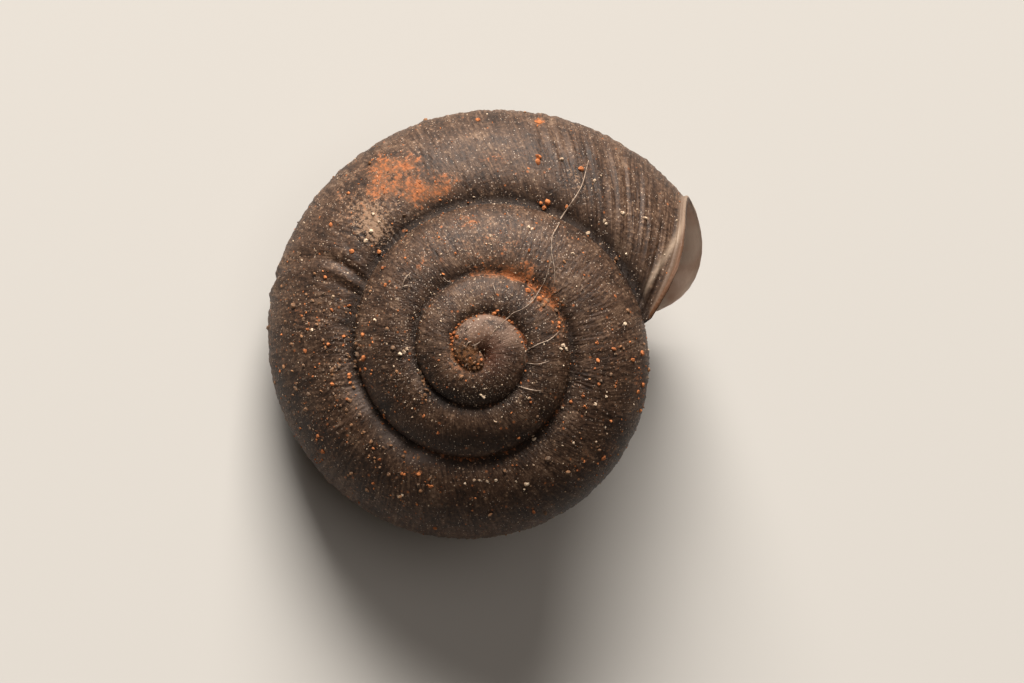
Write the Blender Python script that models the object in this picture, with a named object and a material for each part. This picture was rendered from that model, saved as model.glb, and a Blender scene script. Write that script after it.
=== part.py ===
"""Empty shell of a Cupedora luteofusca land snail, lying on its base and its lip.

The shell is one coiled tube that widens as it turns clockwise, seen from the tip. Each turn
is an ellipse that leans on the turn before it, so the wall that two turns share is one wall.
The tube is hollow from its mouth inwards and ends in an oblique, turned-out lip.
Metres, +Z up. The shell is posed as it rests: the coiling axis leans a little.
"""
import math

import bmesh
import bpy
from mathutils import Matrix, Vector

# Driving dimensions of the coil; a turn is 360 degrees of growth, turn 0 is in the first whorl
FIRST_RADIUS = 0.00193       # from the axis to the outside of the tube at turn 0
GROWTH = 0.70                # widening per turn, as a natural exponent
GROWTH_SLOWING = 0.0465      # how much the widening eases off
NUCLEUS_TURN = -0.9          # where the tube begins
NUCLEUS_START = 0.03         # its radius there, as a share of the first radius
NUCLEUS_BLUNTNESS = 0.35     # exponent with which it opens up
LIP_TURN = 2.975             # where the suture reaches the lip
HOLLOW_TURN = 0.85           # the hollow is modelled from here to the lip

# Shape of one cross-section, as shares of the outer radius
CENTRE_SHARE = 0.54          # distance of the section's centre from the axis
NUCLEUS_CENTRE_SHARE = 0.42  # the same in the nucleus, which closes over the axis
CENTRE_BLEND = (0.0, 0.8)    # turns between which the centre moves out
ASPECT = 0.84                # height of a section to its width
LEAN = math.radians(-3)      # the outer end of a section lies lower

# Height of the coil
CROWN_FALL = 0.235           # fall of a turn's top for each metre of outer radius
NUCLEUS_SINK = 0.00030       # the nucleus lies this much below the first whorl
NUCLEUS_SINK_TURNS = 0.50
NUCLEUS_DIP = 0.00040        # its very beginning lies deeper still
NUCLEUS_DIP_TURNS = 0.09
FRONT_DROP = 0.00135         # the last turn comes down towards the mouth
FRONT_DROP_TURN = 1.9
FRONT_DROP_POWER = 1.7

# Wall and lip
WALL = 0.00022               # wall thickness in the first turns
WALL_SHARE = 0.020           # and what it gains for each metre of outer radius
LIP_BLEND_TURNS = 0.30       # stretch over which the growth lines take the lip's slant
LIP_BAY = math.radians(22)   # how far the outer lip stands back from the suture
LIP_BAY_END = 0.46           # share of the lip, from the suture, that the bay takes
LIP_LAG = math.radians(9)    # how far the base of the lip stands back
LIP_FLARE_TOP = 0.00024      # width of the turned-out lip below the suture
LIP_FLARE_BASE = 0.00065     # and along the base and the column
LIP_THICKNESS = 0.00022

# Pose at rest
REST_LEAN = math.radians(20.2)
REST_TOWARDS = math.radians(201.5)
FLAT_DEPTH = 0.00012         # the resting points are worn flat this deep

# Fineness of the faceting
STATIONS = 40                # sections in one turn
TOP_STEPS = 5                # steps across the stretch that stays open above the next turn
SIDE_STEPS = 8               # across the stretch that forms the next turn's inner wall
BASE_STEPS = 2               # across the stretch that lines the umbilicus
ANGLE_STEP = math.pi / 180   # first step of the search for where two turns meet
AXIS_REACH = 1e-6            # nearer than this to the axis, a section closes over it
AXIS_TOUCH = math.radians(100)

SHELL_COLOUR = (0.045, 0.034, 0.027, 1.0)


def outer_radius(turn):
    """Distance from the axis to the outside of the tube."""
    radius = FIRST_RADIUS * math.exp(GROWTH * turn - GROWTH_SLOWING * turn * turn)
    if turn < 0:
        radius *= max(0.0, 1 - (turn / NUCLEUS_TURN) ** 2) ** NUCLEUS_BLUNTNESS
    return max(radius, NUCLEUS_START * FIRST_RADIUS)


def smooth(value, low, high):
    share = min(1.0, max(0.0, (value - low) / (high - low)))
    return share * share * (3 - 2 * share)


def section(turn):
    """Centre radius, centre height, half-width and half-height of the tube's ellipse."""
    radius = outer_radius(turn)
    share = NUCLEUS_CENTRE_SHARE
    share += (CENTRE_SHARE - NUCLEUS_CENTRE_SHARE) * smooth(turn, *CENTRE_BLEND)
    reach = math.sqrt(math.cos(LEAN) ** 2 + (ASPECT * math.sin(LEAN)) ** 2)
    half_width = (1 - share) * radius / reach
    half_height = half_width * ASPECT
    top = -CROWN_FALL * radius
    top -= NUCLEUS_SINK * math.exp(-((turn - NUCLEUS_TURN) / NUCLEUS_SINK_TURNS) ** 2)
    top -= NUCLEUS_DIP * math.exp(-((turn - NUCLEUS_TURN) / NUCLEUS_DIP_TURNS) ** 2)
    if turn > FRONT_DROP_TURN:
        progress = (turn - FRONT_DROP_TURN) / (LIP_TURN - FRONT_DROP_TURN)
        top -= FRONT_DROP * progress ** FRONT_DROP_POWER
    return share * radius, top - half_height, half_width, half_height


def section_point(turn, angle, inset=0.0):
    """Radius and height of a point on the ellipse; angle 0 is outermost, 90 degrees is the top."""
    centre, height, half_width, half_height = section(turn)
    across = (half_width - inset) * math.cos(angle)
    along = (half_height - inset) * math.sin(angle)
    return (
        centre + across * math.cos(LEAN) - along * math.sin(LEAN),
        height + across * math.sin(LEAN) + along * math.cos(LEAN),
    )


def section_angle(turn, radius, height):
    """How deep a point lies in the ellipse (1 is its outline), and at what angle."""
    centre, middle, half_width, half_height = section(turn)
    out, up = radius - centre, height - middle
    across = (out * math.cos(LEAN) + up * math.sin(LEAN)) / half_width
    along = (up * math.cos(LEAN) - out * math.sin(LEAN)) / half_height
    return math.hypot(across, along), math.atan2(along, across)


def covered(turn, angle, inset):
    """Whether a point of this turn's outline lies in the turn before it or past the axis."""
    radius, height = section_point(turn, angle, inset)
    if radius <= 0:
        return True
    return turn - 1 >= NUCLEUS_TURN and section_angle(turn - 1, radius, height)[0] < 1


def meeting(turn, side, inset=0.0):
    """The angle at which a section meets the turn before it, going up (1) or down (-1)."""
    angle = 0.0
    while not covered(turn, side * angle, inset) and angle < 1.2 * math.pi:
        angle += ANGLE_STEP
    low, high = angle - ANGLE_STEP, angle
    for _ in range(24):
        middle = (low + high) / 2
        if covered(turn, side * middle, inset):
            high = middle
        else:
            low = middle
    return side * high


def wall(turn):
    return WALL + WALL_SHARE * outer_radius(turn)


def touch(turn, side, inset=0.0):
    """The angle, on this turn, of the line where the next turn leans on it."""
    upper = turn + 1
    radius, height = section_point(upper, meeting(upper, side, inset), inset)
    if radius < AXIS_REACH:
        return side * AXIS_TOUCH * (0.5 if inset else 1.0)
    angle = section_angle(turn, radius, height)[1]
    if side < 0 and angle > 0:
        angle -= 2 * math.pi
    return angle


def spread(low, high, steps):
    """Evenly spaced values from low up to, but not with, high."""
    return [low + (high - low) * step / steps for step in range(steps)]


def row_angles(turn):
    """Angles of the points on the outside of one section, from suture to umbilicus."""
    start, end = meeting(turn, 1), meeting(turn, -1)
    if turn <= LIP_TURN - 1 + 1e-6:
        top, low = touch(turn, 1), touch(turn, -1)
        inner_top, inner_low = touch(turn, 1, wall(turn + 1)), touch(turn, -1, wall(turn + 1))
    else:
        last = LIP_TURN - 1
        share_top, share_inner_top, share_inner_low, share_low = [
            (meeting(last, 1) - angle) / (meeting(last, 1) - meeting(last, -1))
            for angle in (
                touch(last, 1),
                touch(last, 1, wall(last + 1)),
                touch(last, -1, wall(last + 1)),
                touch(last, -1),
            )
        ]
        top = start + (end - start) * share_top
        inner_top = start + (end - start) * share_inner_top
        inner_low = start + (end - start) * share_inner_low
        low = start + (end - start) * share_low
    return (
        spread(start, top, TOP_STEPS)
        + [top]
        + spread(inner_top, inner_low, SIDE_STEPS)
        + [inner_low]
        + spread(low, end, BASE_STEPS)
        + [end]
    )


def slant(share):
    """How far the lip stands back from the suture, in radians of growth, along the lip."""
    bay = math.sin(math.pi * min(share / LIP_BAY_END, 1.0)) ** 0.8 if share < LIP_BAY_END else 0.0
    return -(LIP_BAY * bay + LIP_LAG * math.sin(math.pi * min(share, 1.0)))


def surface_point(turn, angle, share, inset=0.0):
    """A point of the tube's outside, or of its inside when inset, in the coil's own frame."""
    progress = smooth(turn, LIP_TURN - LIP_BLEND_TURNS, LIP_TURN)
    place = turn + progress * slant(share) / (2 * math.pi)
    radius, height = section_point(place, angle, inset)
    direction = 2 * math.pi * place
    return Vector((radius * math.cos(direction), -radius * math.sin(direction), height))


class Coil:
    """Collects the vertices and faces of the shell."""

    def __init__(self):
        self.mesh = bmesh.new()
        self.outside = []
        self.inside = []

    def vertex(self, point):
        return self.mesh.verts.new(point)

    def face(self, *corners):
        ring = []
        for corner in corners:
            if corner not in ring:
                ring.append(corner)
        if len(ring) > 2:
            self.mesh.faces.new(ring)

    def strip(self, first, second):
        """Faces between two rows of vertices of equal length."""
        for step in range(len(first) - 1):
            self.face(first[step], first[step + 1], second[step + 1], second[step])


TOP_ROW = TOP_STEPS
INNER_TOP_ROW = TOP_STEPS + 1
INNER_LOW_ROW = INNER_TOP_ROW + SIDE_STEPS
LOW_ROW = INNER_LOW_ROW + 1
END_ROW = LOW_ROW + BASE_STEPS


def turn_at(station):
    return NUCLEUS_TURN + station / STATIONS


def make_outside(coil, stations):
    """Points of every section's outside; from the second turn on its ends lie on the first."""
    poles = [coil.vertex((0, 0, section_point(NUCLEUS_TURN, side * math.pi / 2)[1])) for side in (1, -1)]
    for station in range(stations + 1):
        turn = turn_at(station)
        angles = row_angles(turn)
        shares = [(angles[0] - angle) / (angles[0] - angles[-1]) for angle in angles]
        row = [surface_point(turn, angle, share) for angle, share in zip(angles, shares)]
        row = [coil.vertex(point) for point in row[1:-1]]
        if station < STATIONS:
            row = [poles[0]] + row + [poles[1]]
        else:
            before = coil.outside[station - STATIONS]
            row = [before[TOP_ROW]] + row + [before[LOW_ROW]]
        coil.outside.append(row)


def make_inside(coil, stations, first):
    """Points of every section's inside, whose ends lie on the turn before."""
    for station in range(first, stations + 1):
        turn = turn_at(station)
        inset = wall(turn)
        start, end = meeting(turn, 1, inset), meeting(turn, -1, inset)
        outer = row_angles(turn)
        before = coil.outside[station - STATIONS]
        row = [before[INNER_TOP_ROW]]
        for angle in outer[1:-1]:
            share = (outer[0] - angle) / (outer[0] - outer[-1])
            point = surface_point(turn, start + (end - start) * share, share, inset)
            row.append(coil.vertex(point))
        row.append(before[INNER_LOW_ROW])
        coil.inside.append(row)


def make_lip(coil):
    """The turned-out lip, pinned to the turn before it at both ends."""
    turn = LIP_TURN
    angles = row_angles(turn)
    outside, inside = coil.outside[-1], coil.inside[-1]
    step = 0.01
    rings = [[outside[0]] for _ in range(4)]
    for row in range(1, END_ROW):
        share = (angles[0] - angles[row]) / (angles[0] - angles[-1])
        edge = surface_point(turn, angles[row], share)
        forward = edge - surface_point(turn - step, angles[row], share)
        forward.normalize()
        outward = (outside[row].co - inside[row].co).normalized()
        outward = (outward - forward * outward.dot(forward)).normalized()
        width = LIP_FLARE_TOP + (LIP_FLARE_BASE - LIP_FLARE_TOP) * smooth(share, 0.30, 0.50)
        width *= smooth(min(share, 1 - share), -0.02, 0.10)
        offsets = ((0.15, 0.45), (1.0, 0.8), (0.97, 0.8), (0.2, 0.8))
        for ring, (out, ahead) in zip(rings, offsets):
            point = edge + outward * out * width + forward * ahead * width
            if ring is rings[2]:
                point += forward * LIP_THICKNESS
            if ring is rings[3]:
                point += forward * 0.5 * LIP_THICKNESS - outward * 0.8 * LIP_THICKNESS
            ring.append(coil.vertex(point))
    for ring in rings:
        ring.append(outside[END_ROW])
    coil.strip(outside, rings[0])
    coil.strip(rings[0], rings[1])
    coil.strip(rings[1], rings[2])
    coil.strip(rings[2], rings[3])
    coil.strip(rings[3], inside)


def make_coil():
    """The whole shell in its own frame, with the coiling axis upright."""
    coil = Coil()
    stations = round((LIP_TURN - NUCLEUS_TURN) * STATIONS)
    hollow = round((HOLLOW_TURN - NUCLEUS_TURN) * STATIONS)
    make_outside(coil, stations)
    make_inside(coil, stations, hollow)
    open_from = stations - STATIONS
    for station in range(stations):
        near, far = coil.outside[station], coil.outside[station + 1]
        if station >= open_from:
            coil.strip(near, far)
            continue
        coil.strip(near[:TOP_ROW + 1], far[:TOP_ROW + 1])
        coil.strip(near[LOW_ROW:], far[LOW_ROW:])
        if station + STATIONS >= hollow:
            side = slice(INNER_TOP_ROW, INNER_LOW_ROW + 1)
            coil.strip(near[side], far[side])
    for near, far in zip(coil.inside, coil.inside[1:]):
        coil.strip(far, near)
    first = coil.outside[0]
    coil.face(*reversed(first[:TOP_ROW + 1]))
    coil.face(*reversed(first[LOW_ROW:]))
    inner = coil.outside[hollow - STATIONS][INNER_TOP_ROW:INNER_LOW_ROW + 1]
    coil.face(*coil.inside[0], *reversed(inner[1:-1]))
    make_lip(coil)
    return coil.mesh


def rest(mesh):
    """Lean the shell as it rests, lower it to the ground and wear its resting points flat."""
    lean_axis = Vector((-math.sin(REST_TOWARDS), math.cos(REST_TOWARDS), 0))
    bmesh.ops.rotate(mesh, verts=mesh.verts, matrix=Matrix.Rotation(REST_LEAN, 3, lean_axis))
    lowest = min(vertex.co.z for vertex in mesh.verts)
    middle_x = (min(v.co.x for v in mesh.verts) + max(v.co.x for v in mesh.verts)) / 2
    middle_y = (min(v.co.y for v in mesh.verts) + max(v.co.y for v in mesh.verts)) / 2
    shift = Vector((-middle_x, -middle_y, -lowest - FLAT_DEPTH))
    bmesh.ops.translate(mesh, verts=mesh.verts, vec=shift)
    cut = bmesh.ops.bisect_plane(
        mesh,
        geom=mesh.verts[:] + mesh.edges[:] + mesh.faces[:],
        plane_co=(0, 0, 0),
        plane_no=(0, 0, 1),
        clear_inner=True,
    )
    edges = [item for item in cut["geom_cut"] if isinstance(item, bmesh.types.BMEdge)]
    bmesh.ops.holes_fill(mesh, edges=edges)


def shell_material():
    material = bpy.data.materials.new("shell_brown")
    material.use_nodes = True
    shader = material.node_tree.nodes["Principled BSDF"]
    shader.inputs["Base Color"].default_value = SHELL_COLOUR
    shader.inputs["Roughness"].default_value = 0.62
    shader.inputs["Metallic"].default_value = 0.0
    return material


def main():
    for item in list(bpy.context.scene.objects):
        bpy.data.objects.remove(item)
    collection = bpy.data.collections.new("cupedora_luteofusca_shell")
    bpy.context.scene.collection.children.link(collection)
    mesh = make_coil()
    rest(mesh)
    bmesh.ops.triangulate(mesh, faces=mesh.faces)
    bmesh.ops.recalc_face_normals(mesh, faces=mesh.faces)
    data = bpy.data.meshes.new("shell")
    mesh.to_mesh(data)
    mesh.free()
    data.materials.append(shell_material())
    data.shade_smooth()
    data.set_sharp_from_angle(angle=math.radians(50))
    collection.objects.link(bpy.data.objects.new("shell", data))


main()
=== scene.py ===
# %% [markdown]
# # An empty land snail shell, seen down its tip
# The shell is one coiled tube that widens as it grows. Its outside is a dark skin with fine
# growth ribs, dusted with rust-coloured soil. This notebook grows the tube from a few numbers,
# carves the ribs with Geometry Nodes, scatters the soil over it and lights it softly.

# %% Tools and the fixed frame
import math

import bmesh
import bpy
import numpy as np
from mathutils import Matrix, Vector
from mathutils.bvhtree import BVHTree


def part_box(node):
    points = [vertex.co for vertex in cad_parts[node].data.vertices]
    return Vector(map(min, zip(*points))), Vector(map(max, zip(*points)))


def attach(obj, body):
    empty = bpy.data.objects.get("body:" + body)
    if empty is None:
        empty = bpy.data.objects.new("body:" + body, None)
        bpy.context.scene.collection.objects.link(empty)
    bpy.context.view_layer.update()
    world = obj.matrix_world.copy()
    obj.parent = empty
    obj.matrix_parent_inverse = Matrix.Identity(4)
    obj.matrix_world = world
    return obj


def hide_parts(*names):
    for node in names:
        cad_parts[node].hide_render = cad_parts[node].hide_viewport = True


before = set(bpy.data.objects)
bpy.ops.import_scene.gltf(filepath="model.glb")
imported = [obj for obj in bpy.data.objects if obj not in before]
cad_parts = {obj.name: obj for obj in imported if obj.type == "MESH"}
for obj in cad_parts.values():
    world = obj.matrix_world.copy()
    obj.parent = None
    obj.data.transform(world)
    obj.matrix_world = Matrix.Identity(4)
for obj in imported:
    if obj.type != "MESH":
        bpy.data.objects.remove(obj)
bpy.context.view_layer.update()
shell_low, shell_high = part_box("shell")
print("The solid shell reaches from", shell_low, "to", shell_high)

# %% [markdown]
# ## The growth rule
# A snail adds shell at its lip and keeps its shape, so every measure of the tube is a steady
# exponent of the turn that it has reached. The outer radius widens by a factor that eases off,
# the cross-section is an ellipse whose centre, width and height are shares of that radius, and
# the tops of the turns fall with it. A table of points could give the same coil, but a rule is
# short, smooth at any fineness, and easy to change.

# %% Growth rule
MILLIMETRE = 0.001
FIRST_RADIUS = 1.93 * MILLIMETRE
GROWTH, GROWTH_SLOWING = 0.70, 0.0465
NUCLEUS_TURN, LIP_TURN = -0.9, 2.975
NUCLEUS_START, NUCLEUS_BLUNTNESS = 0.03, 0.35
CENTRE_SHARE, NUCLEUS_CENTRE_SHARE = 0.54, 0.42
CENTRE_BLEND = (0.0, 0.8)
ASPECT = 0.84
LEAN = math.radians(-3)
CROWN_FALL = 0.235
NUCLEUS_SINK, NUCLEUS_SINK_TURNS = 0.30 * MILLIMETRE, 0.50
NUCLEUS_DIP, NUCLEUS_DIP_TURNS = 0.40 * MILLIMETRE, 0.09
FRONT_DROP, FRONT_DROP_TURN, FRONT_DROP_POWER = 1.35 * MILLIMETRE, 1.9, 1.7
WALL, WALL_SHARE = 0.22 * MILLIMETRE, 0.020
FULL_TURN = 2 * math.pi


def ramp(value, low, high):
    """A smooth step from 0 at low to 1 at high."""
    share = np.clip((value - low) / (high - low), 0, 1)
    return share * share * (3 - 2 * share)


def outer_radius(turn):
    turn = np.asarray(turn, dtype=float)
    radius = FIRST_RADIUS * np.exp(GROWTH * turn - GROWTH_SLOWING * turn ** 2)
    early = np.clip(1 - (np.minimum(turn, 0) / NUCLEUS_TURN) ** 2, 0, 1)
    return np.maximum(radius * early ** NUCLEUS_BLUNTNESS, NUCLEUS_START * FIRST_RADIUS)


def section(turn):
    """Centre radius, centre height, half-width and half-height of the tube at a turn."""
    radius = outer_radius(turn)
    share = NUCLEUS_CENTRE_SHARE
    share = share + (CENTRE_SHARE - NUCLEUS_CENTRE_SHARE) * ramp(turn, *CENTRE_BLEND)
    reach = math.hypot(math.cos(LEAN), ASPECT * math.sin(LEAN))
    half_width = (1 - share) * radius / reach
    half_height = half_width * ASPECT
    top = -CROWN_FALL * radius
    top = top - NUCLEUS_SINK * np.exp(-((turn - NUCLEUS_TURN) / NUCLEUS_SINK_TURNS) ** 2)
    top = top - NUCLEUS_DIP * np.exp(-((turn - NUCLEUS_TURN) / NUCLEUS_DIP_TURNS) ** 2)
    progress = np.clip((turn - FRONT_DROP_TURN) / (LIP_TURN - FRONT_DROP_TURN), 0, None)
    top = top - FRONT_DROP * progress ** FRONT_DROP_POWER
    return share * radius, top - half_height, half_width, half_height


def section_point(turn, angle, inset=0.0):
    """Radius and height on the ellipse; angle 0 is outermost, a quarter turn is the top."""
    centre, height, half_width, half_height = section(turn)
    across = (half_width - inset) * np.cos(angle)
    along = (half_height - inset) * np.sin(angle)
    radius = centre + across * math.cos(LEAN) - along * math.sin(LEAN)
    return radius, height + across * math.sin(LEAN) + along * math.cos(LEAN)


def section_angle(turn, radius, height):
    """How deep a point lies in the ellipse (1 is its outline), and at what angle."""
    centre, middle, half_width, half_height = section(turn)
    out, up = radius - centre, height - middle
    across = (out * math.cos(LEAN) + up * math.sin(LEAN)) / half_width
    along = (up * math.cos(LEAN) - out * math.sin(LEAN)) / half_height
    return np.hypot(across, along), np.arctan2(along, across)


def wall(turn):
    return WALL + WALL_SHARE * outer_radius(turn)


print("The coil is", round(2 * float(outer_radius(LIP_TURN)) / MILLIMETRE, 1), "mm wide at its lip")

# %% [markdown]
# ## Where one turn leans on the next
# The suture is the line where a turn meets the one before it. It isn't drawn: it follows from
# the two ellipses. For a row of turns, the search below walks up (or down) the ellipse until it
# enters the older one, then halves the step. Sections in between read the answers by
# interpolation, which is quick and just as smooth.

# %% Meeting lines
SEARCH_PER_TURN = 80
SEARCH_ANGLES = np.radians(np.arange(0, 217, 1.0))
HALVINGS = 20
AXIS_REACH = 1e-6
AXIS_TOUCH = math.radians(100)


def covered(turn, angle, inset):
    """Whether an outline point lies in the turn before it, or past the axis."""
    radius, height = section_point(turn, angle, inset)
    depth = section_angle(turn - 1, radius, height)[0]
    return (radius <= 0) | ((turn - 1 >= NUCLEUS_TURN) & (depth < 1))


def meeting(turn, side, inset=0.0):
    hits = covered(turn, side * SEARCH_ANGLES, inset)
    first = int(np.argmax(hits)) if hits.any() else len(SEARCH_ANGLES) - 1
    low, high = SEARCH_ANGLES[first - 1], SEARCH_ANGLES[first]
    for _ in range(HALVINGS):
        middle = (low + high) / 2
        if covered(turn, side * middle, inset):
            high = middle
        else:
            low = middle
    return side * high


def touch(turn, side, inset=0.0):
    """The angle, on this turn, of the line where the next turn leans on it."""
    radius, height = section_point(turn + 1, meeting(turn + 1, side, inset), inset)
    if radius < AXIS_REACH:
        return side * AXIS_TOUCH * (0.5 if inset else 1.0)
    angle = float(section_angle(turn, radius, height)[1])
    return angle - FULL_TURN if side < 0 and angle > 0 else angle


search_count = round((LIP_TURN - NUCLEUS_TURN) * SEARCH_PER_TURN) + 1
search_turns = np.linspace(NUCLEUS_TURN, LIP_TURN, search_count)
covered_turns = search_turns[search_turns <= LIP_TURN - 1 + 1e-9]
lines = {
    "start": [meeting(turn, 1) for turn in search_turns],
    "end": [meeting(turn, -1) for turn in search_turns],
    "inner_start": [meeting(turn, 1, wall(turn)) for turn in search_turns],
    "inner_end": [meeting(turn, -1, wall(turn)) for turn in search_turns],
    "top": [touch(turn, 1) for turn in covered_turns],
    "inner_top": [touch(turn, 1, wall(turn + 1)) for turn in covered_turns],
    "inner_low": [touch(turn, -1, wall(turn + 1)) for turn in covered_turns],
    "low": [touch(turn, -1) for turn in covered_turns],
}


def line_at(name, turn):
    """Angle of a named line at the given turns; past the last covered turn its share is kept."""
    if name in ("start", "end", "inner_start", "inner_end"):
        return np.interp(turn, search_turns, lines[name])
    known = np.interp(turn, covered_turns, lines[name])
    last = LIP_TURN - 1
    start, end = line_at("start", last), line_at("end", last)
    share = (start - known) / (start - end)
    open_angle = line_at("start", turn) + (line_at("end", turn) - line_at("start", turn)) * share
    return np.where(turn > last, open_angle, known)


print("Found", len(lines), "lines at", len(search_turns), "turns")

# %% [markdown]
# ## The skin of the tube
# A fine net of points covers the tube: stations follow the growth, rows run round the section.
# From the second turn on, the first and last point of a station are points of the turn before
# it, so neighbouring turns share one wall and the net closes with no cuts or unions. Each point
# keeps its growth, its share of the way round and where it lies, for the ribs and the finish.

# %% Net sizes
STATIONS = 760
TOP_STEPS, SIDE_STEPS, BASE_STEPS = 12, 22, 6
TOP_ROW = TOP_STEPS
INNER_TOP_ROW = TOP_ROW + 1
INNER_LOW_ROW = INNER_TOP_ROW + SIDE_STEPS
LOW_ROW = INNER_LOW_ROW + 1
END_ROW = LOW_ROW + BASE_STEPS
HOLLOW_TURNS = 0.50
LIP_BLEND_TURNS = 0.30
LIP_BAY, LIP_BAY_END = math.radians(22), 0.46
LIP_LAG = math.radians(9)
BAY_ROUNDING, BAY_ROUNDING_SHARES, BAY_STEPS = 0.08, (0.20, 0.36), np.linspace(-1, 1, 9)
BAY_FULLNESS = 0.8
LIP_LOBE, LIP_LOBE_SHARE, LIP_LOBE_WIDTH = math.radians(2.6), 0.50, 0.10
LINE_SLANT = 0.5
ROW_EASING = 0.6
SUTURE_DEPTH = 0.24 * MILLIMETRE
SUTURE_WIDTH_NEW, SUTURE_WIDTH_OLD = 0.46 * MILLIMETRE, 0.15 * MILLIMETRE
SUTURE_FULL_TURN, SUTURE_LEAST = 2.6, 0.12

station_count = round((LIP_TURN - NUCLEUS_TURN) * STATIONS)
station_turns = NUCLEUS_TURN + np.arange(station_count + 1) / STATIONS
print("The net has", station_count + 1, "stations of", END_ROW + 1, "rows")


def slant(share):
    """How far a growth line stands back from the suture, in radians, along the section."""
    reach = BAY_ROUNDING * ramp(share, *BAY_ROUNDING_SHARES)
    bay = 0.0
    for step in BAY_STEPS:
        wave = np.sin(math.pi * np.clip((share + step * reach) / LIP_BAY_END, 0, 1))
        bay = bay + np.clip(wave, 0, 1) ** BAY_FULLNESS / len(BAY_STEPS)
    lobe = LIP_LOBE * np.exp(-((share - LIP_LOBE_SHARE) / LIP_LOBE_WIDTH) ** 2)
    return lobe - LIP_BAY * bay - LIP_LAG * np.sin(math.pi * np.clip(share, 0, 1))


def row_angles(turn):
    """Angles of the outside's rows at every station, closer together beside the suture."""
    start, end = line_at("start", turn), line_at("end", turn)
    top, low = line_at("top", turn), line_at("low", turn)
    inner_top, inner_low = line_at("inner_top", turn), line_at("inner_low", turn)
    rows = []
    for step in range(TOP_STEPS + 1):
        even = step / TOP_STEPS
        eased = 0.5 - 0.5 * math.cos(math.pi * even)
        rows.append(start + (top - start) * ((1 - ROW_EASING) * even + ROW_EASING * eased))
    for step in range(SIDE_STEPS + 1):
        rows.append(inner_top + (inner_low - inner_top) * step / SIDE_STEPS)
    for step in range(BASE_STEPS + 1):
        rows.append(low + (end - low) * step / BASE_STEPS)
    return np.stack(rows, axis=1)


def tube_points(turn, angle, share, inset):
    """Points of the tube in its own frame: axis upright, growing clockwise from above."""
    progress = ramp(turn, LIP_TURN - LIP_BLEND_TURNS, LIP_TURN)
    place = turn + progress * slant(share) / FULL_TURN
    radius, height = section_point(place, angle, inset)
    direction = FULL_TURN * place
    points = np.stack([radius * np.cos(direction), -radius * np.sin(direction), height], axis=-1)
    growth = turn - LINE_SLANT * (1 - progress) * slant(share) / FULL_TURN
    return points, growth


# %% Points of the outside and the inside
outer_angles = row_angles(station_turns)
outer_shares = (outer_angles[:, :1] - outer_angles) / (outer_angles[:, :1] - outer_angles[:, -1:])
turn_grid = np.repeat(station_turns[:, None], END_ROW + 1, axis=1)
half_widths = section(turn_grid)[2]
from_suture = (outer_angles[:, :1] - outer_angles) * half_widths
to_suture = np.abs(outer_angles - outer_angles[:, TOP_ROW:TOP_ROW + 1]) * half_widths
to_suture = np.where(turn_grid > LIP_TURN - 1, 1.0, to_suture)
from_suture = np.where(turn_grid < NUCLEUS_TURN + 1, 1.0, from_suture)
full_radius = outer_radius(SUTURE_FULL_TURN)
size_new = np.clip(outer_radius(turn_grid) / full_radius, SUTURE_LEAST, 1.0)
size_old = np.clip(outer_radius(turn_grid + 1) / full_radius, SUTURE_LEAST, 1.0)
groove_new = np.exp(-(from_suture / (SUTURE_WIDTH_NEW * size_new)) ** 2)
groove_old = np.exp(-(to_suture / (SUTURE_WIDTH_OLD * size_old)) ** 2)
outer_points, outer_growth = tube_points(turn_grid, outer_angles, outer_shares, 0.0)
outer_points[..., 2] -= SUTURE_DEPTH * (size_new * groove_new + size_old * groove_old)
groove = np.maximum(groove_new, groove_old)
outer_rim = (LIP_TURN - turn_grid) * FULL_TURN * outer_radius(turn_grid)

hollow_station = station_count - round(HOLLOW_TURNS * STATIONS)
inner_turns = turn_grid[hollow_station:]
inner_shares = outer_shares[hollow_station:]
inner_start = line_at("inner_start", inner_turns)
inner_angles = inner_start + (line_at("inner_end", inner_turns) - inner_start) * inner_shares
inner_points, inner_growth = tube_points(inner_turns, inner_angles, inner_shares, wall(inner_turns))
print("Outside net:", outer_points.shape[:2], "inside net:", inner_points.shape[:2])

# %% [markdown]
# ## The lip
# A grown snail turns its lip outwards and thickens it. A few rings of points carry the tube's
# edge outwards and forwards, round the rim and back to the inside. They are pinned to the older
# turn at both ends, where the real lip fades into it.

# %% Lip rings
LIP_FLARE_TOP, LIP_FLARE_SHOULDER = 0.26 * MILLIMETRE, 0.10 * MILLIMETRE
LIP_FLARE_BASE = 0.65 * MILLIMETRE
LIP_THICKNESS = 0.20 * MILLIMETRE
FLARE_TOP_SHARES, FLARE_BASE_SHARES, FLARE_END_SHARES = (0.08, 0.20), (0.28, 0.50), (-0.02, 0.10)
# Each ring's way out and ahead in flares, then out and ahead in thicknesses
LIP_PROFILE = (
    (0.05, 0.22, 0.0, 0.0),
    (0.22, 0.50, 0.0, 0.0),
    (0.55, 0.70, 0.0, 0.0),
    (0.90, 0.80, 0.0, 0.0),
    (1.06, 0.82, 0.0, 0.30),
    (1.08, 0.82, 0.0, 0.70),
    (0.92, 0.82, 0.0, 1.0),
    (0.55, 0.78, -0.25, 0.95),
    (0.20, 0.72, -0.60, 0.75),
    (0.05, 0.50, -0.90, 0.45),
)
FORWARD_STEP = 0.01

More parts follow.
